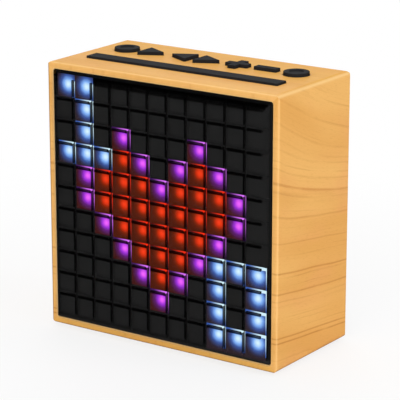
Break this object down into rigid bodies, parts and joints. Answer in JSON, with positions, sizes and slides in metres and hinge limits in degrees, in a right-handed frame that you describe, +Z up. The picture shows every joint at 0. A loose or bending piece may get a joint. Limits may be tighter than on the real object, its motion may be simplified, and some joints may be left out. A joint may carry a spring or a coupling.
{
  "type": "speaker alarm clock",
  "caption": "Square desk speaker clock: wood-grain sleeve, raised smoked pixel screen, rubber keys and a long bar on top, speaker grille and charging socket at the back.",
  "frame": {"origin": "on the table under the middle of the clock, at the underside of the feet", "axes": "+Z up, the screen faces -Y, +X to the viewer's right"},
  "size_m": [0.098, 0.0484, 0.1],
  "materials": {
    "wood_finish": "satin wood-grain finish",
    "foot_rubber": "matt rubber",
    "screw_steel": "zinc plated",
    "screw_dark": "black oxide",
    "inner_plastic": "moulded black",
    "smoked_screen": "smoked, satin",
    "mask_plastic": "moulded black",
    "smoked_film": "smoked, satin",
    "white_plastic": "moulded white",
    "light_body": "moulded white with a clear well",
    "board_green": "solder mask",
    "chip_black": "moulded black",
    "tinned_sheet": "tinned",
    "cell_wrap": "shrink wrap",
    "cover_plastic": "fine moulded texture",
    "grille_metal": "powder coat",
    "foam_ring": "foam",
    "basket_metal": "pressed and painted",
    "roll_rubber": "satin rubber",
    "cone_paper": "coated paper",
    "spider_cloth": "resin-set cloth",
    "coil_copper": "wound copper",
    "plate_steel": "plated",
    "magnet_ferrite": "sintered",
    "key_rubber": "fine-grained matt rubber",
    "plunger_red": "moulded"
  },
  "bodies": {
    "case": {"wood_sleeve": "wood_finish", "rubber_feet": "foot_rubber", "sleeve_screws": "screw_steel", "chassis": "inner_plastic", "screen": "smoked_screen", "pixel_mask": "mask_plastic", "diffuser_sheet": "smoked_film", "pixel_reflector": "white_plastic", "pixel_lights": "light_body", "pixel_board": "board_green", "main_board": "board_green", "main_board_chips": "chip_black", "shield_can": "tinned_sheet", "main_board_screws": "screw_steel", "battery_cell": "cell_wrap", "battery_cradle": "inner_plastic", "battery_tabs": "tinned_sheet", "port_board": "board_green", "port_board_screws": "screw_steel", "charge_socket": "tinned_sheet", "charge_socket_core": "chip_black", "key_board": "board_green", "key_board_screws": "screw_steel", "switch_bodies": "chip_black", "rear_cover": "cover_plastic", "rear_cover_screws": "screw_dark", "speaker_grille": "grille_metal", "speaker_gasket": "foam_ring", "speaker_basket": "basket_metal", "speaker_surround": "roll_rubber", "speaker_cone": "cone_paper", "speaker_dust_cap": "cone_paper", "speaker_spider": "spider_cloth", "voice_coil": "coil_copper", "magnet_front_plate": "plate_steel", "speaker_magnet": "magnet_ferrite", "magnet_yoke": "plate_steel", "speaker_screws": "screw_steel"},
    "power": {"power_key": "key_rubber", "power_plunger": "plunger_red"},
    "play": {"play_key": "key_rubber", "play_plunger": "plunger_red"},
    "previous": {"previous_key": "key_rubber", "previous_plunger": "plunger_red"},
    "next": {"next_key": "key_rubber", "next_plunger": "plunger_red"},
    "volume_up": {"volume_up_key": "key_rubber", "volume_up_plunger": "plunger_red"},
    "volume_down": {"volume_down_key": "key_rubber", "volume_down_plunger": "plunger_red"},
    "mode": {"mode_key": "key_rubber", "mode_plunger": "plunger_red"},
    "snooze": {"snooze_bar": "key_rubber", "snooze_plungers": "plunger_red"}
  },
  "joints": [
    {"name": "power_press", "type": "slide", "parent": "case", "child": "power", "axis": [0, 0, -1], "range_m": [0, 0.0005], "stiffness_N_per_m": 800},
    {"name": "play_press", "type": "slide", "parent": "case", "child": "play", "axis": [0, 0, -1], "range_m": [0, 0.0005], "stiffness_N_per_m": 800},
    {"name": "previous_press", "type": "slide", "parent": "case", "child": "previous", "axis": [0, 0, -1], "range_m": [0, 0.0005], "stiffness_N_per_m": 800},
    {"name": "next_press", "type": "slide", "parent": "case", "child": "next", "axis": [0, 0, -1], "range_m": [0, 0.0005], "stiffness_N_per_m": 800},
    {"name": "volume_up_press", "type": "slide", "parent": "case", "child": "volume_up", "axis": [0, 0, -1], "range_m": [0, 0.0005], "stiffness_N_per_m": 800},
    {"name": "volume_down_press", "type": "slide", "parent": "case", "child": "volume_down", "axis": [0, 0, -1], "range_m": [0, 0.0005], "stiffness_N_per_m": 800},
    {"name": "mode_press", "type": "slide", "parent": "case", "child": "mode", "axis": [0, 0, -1], "range_m": [0, 0.0005], "stiffness_N_per_m": 800},
    {"name": "snooze_press", "type": "slide", "parent": "case", "child": "snooze", "axis": [0, 0, -1], "range_m": [0, 0.0005], "stiffness_N_per_m": 800}
  ]
}
